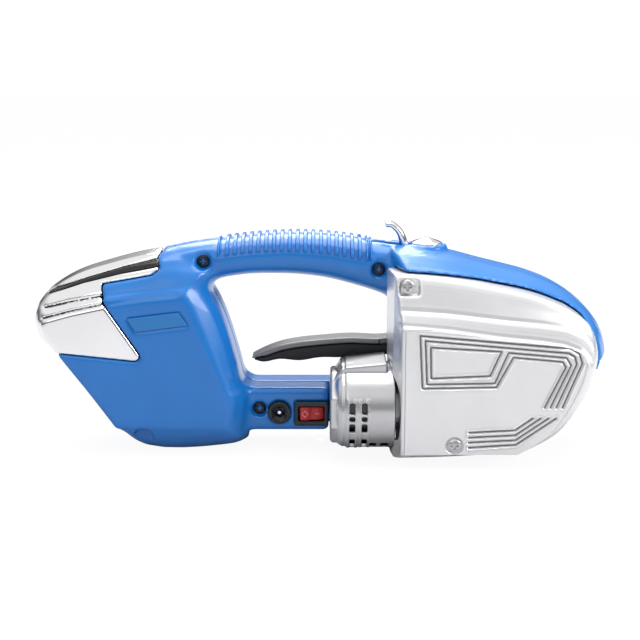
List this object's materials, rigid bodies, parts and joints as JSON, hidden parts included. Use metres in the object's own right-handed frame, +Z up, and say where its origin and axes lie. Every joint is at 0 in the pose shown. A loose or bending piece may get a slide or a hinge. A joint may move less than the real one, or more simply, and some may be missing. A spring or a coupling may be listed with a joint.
{
  "type": "battery strapping tool",
  "caption": "Hand-held battery tool that tensions, friction-welds and cuts plastic strap, with a loop handle, lift lever, weld lever and tension button.",
  "frame": {"origin": "on the surface the tool stands on, under the middle of its bounding box", "axes": "+X from the battery end to the nose, +Z up, -Y towards the silver drive cover"},
  "size_m": [0.35, 0.12, 0.1386],
  "materials": {
    "blue_housing": "glossy moulded ABS, bright blue",
    "chrome": "bright chrome plate",
    "satin_silver": "satin silver",
    "bright_silver": "polished silver plate",
    "cast_alloy": "die-cast, light grey",
    "steel": "ground steel",
    "hard_steel": "hardened and blackened",
    "black_plastic": "fine matt black",
    "red_plastic": "glossy dark red",
    "label": "blank blue plate",
    "board": "green circuit board",
    "cell_wrap": "blue shrink wrap",
    "belt": "black belt"
  },
  "bodies": {
    "frame": {"arm_spring": "steel", "bar_screw": "hard_steel", "base_plate": "steel", "battery_end_cap": "chrome", "battery_pack": "cell_wrap", "bearing_bracket": "cast_alloy", "button_board": "board", "charging_jack": "black_plastic", "control_board": "board", "cover_bracket": "steel", "cover_screw_lower": "chrome", "cover_screw_upper": "chrome", "crank_pin": "steel", "cross_bearing_inner": "steel", "cross_bearing_near": "steel", "drive_cover": "satin_silver", "frame_spacer_front": "steel", "frame_spacer_rear": "steel", "gripper_plate": "hard_steel", "handle_screw_front": "hard_steel", "handle_screw_rear": "hard_steel", "housing_far": "blue_housing", "housing_near": "blue_housing", "label_plate": "label", "lever_pin": "steel", "lower_weld_jaw": "hard_steel", "main_frame": "cast_alloy", "motor_can": "steel", "motor_cover": "bright_silver", "outer_frame": "cast_alloy", "reduction_gearhead": "steel", "strap_guide_front": "steel", "strap_guide_rear": "steel", "switch_frame": "black_plastic", "weld_belt": "belt"},
    "lift_lever": {"lift_lever": "cast_alloy", "lift_lever_grip": "black_plastic"},
    "swing_arm": {"swing_arm": "cast_alloy"},
    "tension_wheel": {"tension_wheel": "hard_steel", "wheel_gear": "steel", "wheel_shaft": "steel"},
    "rotor": {"rotor": "hard_steel", "cooling_fan": "black_plastic"},
    "pinion": {"bevel_pinion": "steel"},
    "cross_shaft": {"cross_shaft": "steel", "bevel_gear": "steel", "arm_drive_gear": "steel"},
    "weld_pulley": {"weld_pulley": "cast_alloy"},
    "eccentric": {"eccentric_shaft": "steel", "eccentric_pulley": "cast_alloy"},
    "weld_lever": {"weld_lever": "chrome", "weld_lever_shaft": "steel"},
    "press_link": {"press_link": "steel"},
    "press_crank": {"press_crank": "steel"},
    "press_head": {"press_head": "steel", "cutter_blade": "hard_steel"},
    "weld_jaw": {"upper_weld_jaw": "hard_steel"},
    "tension_button": {"tension_button": "chrome", "button_spring": "steel"},
    "power_rocker": {"power_rocker": "red_plastic"}
  },
  "joints": [
    {"name": "lever_lift", "type": "hinge", "parent": "frame", "child": "lift_lever", "pos_m": [0.0505, 0, 0.062], "axis": [0, 1, 0], "range_deg": [0, 18], "stiffness_Nm_per_rad": 1, "springref_deg": -17.19},
    {"name": "arm_swing", "type": "hinge", "parent": "frame", "child": "swing_arm", "pos_m": [0.076, 0, 0.0315], "axis": [0, -1, 0], "range_deg": [0, 8]},
    {"name": "rotor_spin", "type": "hinge", "parent": "frame", "child": "rotor", "pos_m": [0.03, -0.03, 0.0315], "axis": [1, 0, 0], "continuous": true},
    {"name": "pinion_spin", "type": "hinge", "parent": "frame", "child": "pinion", "pos_m": [0.058, -0.03, 0.0315], "axis": [1, 0, 0], "continuous": true},
    {"name": "cross_shaft_spin", "type": "hinge", "parent": "frame", "child": "cross_shaft", "pos_m": [0.076, 0, 0.0315], "axis": [0, 1, 0], "continuous": true},
    {"name": "wheel_spin", "type": "hinge", "parent": "swing_arm", "child": "tension_wheel", "pos_m": [0.1025, 0, 0.0223], "axis": [0, 1, 0], "continuous": true},
    {"name": "weld_pulley_spin", "type": "hinge", "parent": "frame", "child": "weld_pulley", "pos_m": [0.076, 0, 0.0315], "axis": [0, 1, 0], "continuous": true},
    {"name": "eccentric_spin", "type": "hinge", "parent": "frame", "child": "eccentric", "pos_m": [0.132, 0, 0.046], "axis": [0, 1, 0], "continuous": true},
    {"name": "jaw_shuttle", "type": "slide", "parent": "press_head", "child": "weld_jaw", "axis": [1, 0, 0], "range_m": [-0.001, 0.001]},
    {"name": "weld_lever_turn", "type": "hinge", "parent": "frame", "child": "weld_lever", "pos_m": [0.0505, 0, 0.114], "axis": [0, -1, 0], "range_deg": [0, 28], "stiffness_Nm_per_rad": 0.3, "springref_deg": -17.19},
    {"name": "press_link_slide", "type": "slide", "parent": "frame", "child": "press_link", "axis": [1, 0, 0], "range_m": [0, 0.0048]},
    {"name": "press_crank_turn", "type": "hinge", "parent": "frame", "child": "press_crank", "pos_m": [0.112, 0, 0.086], "axis": [0, 1, 0], "range_deg": [0, 15.5]},
    {"name": "press_head_slide", "type": "slide", "parent": "frame", "child": "press_head", "axis": [0, 0, -1], "range_m": [0, 0.0023]},
    {"name": "button_press", "type": "slide", "parent": "frame", "child": "tension_button", "axis": [0, 0, -1], "range_m": [0, 0.0028], "stiffness_N_per_m": 600, "springref_m": -0.002},
    {"name": "rocker_tip", "type": "hinge", "parent": "frame", "child": "power_rocker", "pos_m": [-0.0059, -0.0182, 0.0226], "axis": [0, 0, -1], "range_deg": [0, 20]}
  ],
  "couplings": [
    {"joint": "arm_swing", "follows": "lever_lift", "ratio": 0.4444},
    {"joint": "pinion_spin", "follows": "rotor_spin", "ratio": 0.2},
    {"joint": "cross_shaft_spin", "follows": "rotor_spin", "ratio": 0.08889},
    {"joint": "wheel_spin", "follows": "rotor_spin", "ratio": -0.07485},
    {"joint": "eccentric_spin", "follows": "weld_pulley_spin", "ratio": 1.9},
    {"joint": "press_link_slide", "follows": "weld_lever_turn", "m_per_rad": 0.00962},
    {"joint": "press_crank_turn", "follows": "weld_lever_turn", "ratio": 0.54},
    {"joint": "press_head_slide", "follows": "weld_lever_turn", "m_per_rad": 0.0045}
  ]
}
